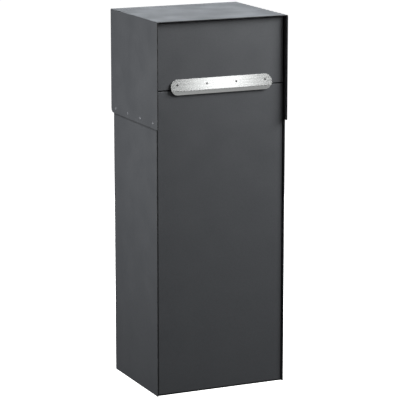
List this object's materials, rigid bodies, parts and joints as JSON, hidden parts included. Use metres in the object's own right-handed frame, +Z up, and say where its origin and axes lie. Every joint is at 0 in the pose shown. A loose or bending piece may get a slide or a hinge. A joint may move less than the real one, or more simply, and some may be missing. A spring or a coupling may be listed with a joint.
{
  "type": "free-standing parcel drop box",
  "caption": "Free-standing sheet-metal parcel drop box with a top-hung deposit flap, grip strip, anti-theft tray, fixed front panel and a lockable rear door.",
  "frame": {"origin": "middle of the footprint, on the ground", "axes": "+Z up, front faces -Y, +X to the right when facing the front"},
  "size_m": [0.402, 0.338, 1.07],
  "materials": {
    "powder_coat": "fine matt textured powder coat, anthracite grey",
    "painted_rivet": "coated rivet heads",
    "stainless": "long-grain brushed stainless",
    "zinc": "bright zinc plate",
    "galvanised": "galvanised sheet",
    "chrome": "polished nickel",
    "rubber": "matt black rubber",
    "nylon": "natural nylon"
  },
  "bodies": {
    "cabinet": {"cabinet_shell": "powder_coat", "base_plate": "powder_coat", "front_sill": "powder_coat", "hood": "powder_coat", "hood_rivets_left": "painted_rivet", "hood_rivets_right": "painted_rivet", "jamb_left": "powder_coat", "jamb_right": "powder_coat", "head_rail": "powder_coat", "front_panel": "powder_coat", "front_stiffener": "powder_coat", "lock_rail": "powder_coat", "hinge_plate_lower": "zinc", "hinge_plate_upper": "zinc", "door_pin_lower": "stainless", "door_pin_upper": "stainless", "door_washer": "nylon", "door_bumpers": "rubber", "flap_surround": "powder_coat", "hopper_shell": "galvanised", "flap_hinge_brackets": "zinc", "flap_hinge_rod": "stainless", "tray_pivot_pins": "stainless", "flap_bumpers": "rubber"},
    "door": {"rear_door": "powder_coat", "door_stiffener": "powder_coat", "door_bushes": "nylon", "lock_housing": "chrome", "lock_nut": "zinc"},
    "flap": {"deposit_flap": "powder_coat", "flap_handle": "stainless", "handle_spacers": "stainless", "handle_studs": "stainless", "handle_nuts": "zinc", "flap_link_brackets": "zinc", "flap_link_pins": "stainless"},
    "tray": {"drop_tray": "galvanised", "tray_link_pins": "stainless", "tray_edge_strip": "rubber"},
    "link_left": {"tray_link_left": "zinc"},
    "link_right": {"tray_link_right": "zinc"},
    "lock": {"lock_plug": "chrome", "lock_cam": "zinc", "lock_cam_screw": "zinc"}
  },
  "joints": [
    {"name": "door_hinge", "type": "hinge", "parent": "cabinet", "child": "door", "pos_m": [0.148, 0.148, 0.442], "axis": [0, 0, -1], "range_deg": [0, 110]},
    {"name": "flap_hinge", "type": "hinge", "parent": "cabinet", "child": "flap", "pos_m": [0, -0.143, 1.048], "axis": [-1, 0, 0], "range_deg": [0, 85]},
    {"name": "tray_hinge", "type": "hinge", "parent": "cabinet", "child": "tray", "pos_m": [0, 0.11, 0.905], "axis": [-1, 0, 0], "range_deg": [0, 85]},
    {"name": "link_pivot_left", "type": "hinge", "parent": "flap", "child": "link_left", "pos_m": [-0.146, -0.143, 1.002], "axis": [-1, 0, 0], "range_deg": [-85, 0]},
    {"name": "link_pivot_right", "type": "hinge", "parent": "flap", "child": "link_right", "pos_m": [0.146, -0.143, 1.002], "axis": [-1, 0, 0], "range_deg": [-85, 0]},
    {"name": "lock_turn", "type": "hinge", "parent": "door", "child": "lock", "pos_m": [-0.145, 0.148, 0.45], "axis": [0, 1, 0], "range_deg": [0, 90]}
  ],
  "couplings": [
    {"joint": "tray_hinge", "follows": "flap_hinge", "ratio": 1},
    {"joint": "link_pivot_left", "follows": "flap_hinge", "ratio": -1},
    {"joint": "link_pivot_right", "follows": "flap_hinge", "ratio": -1}
  ]
}
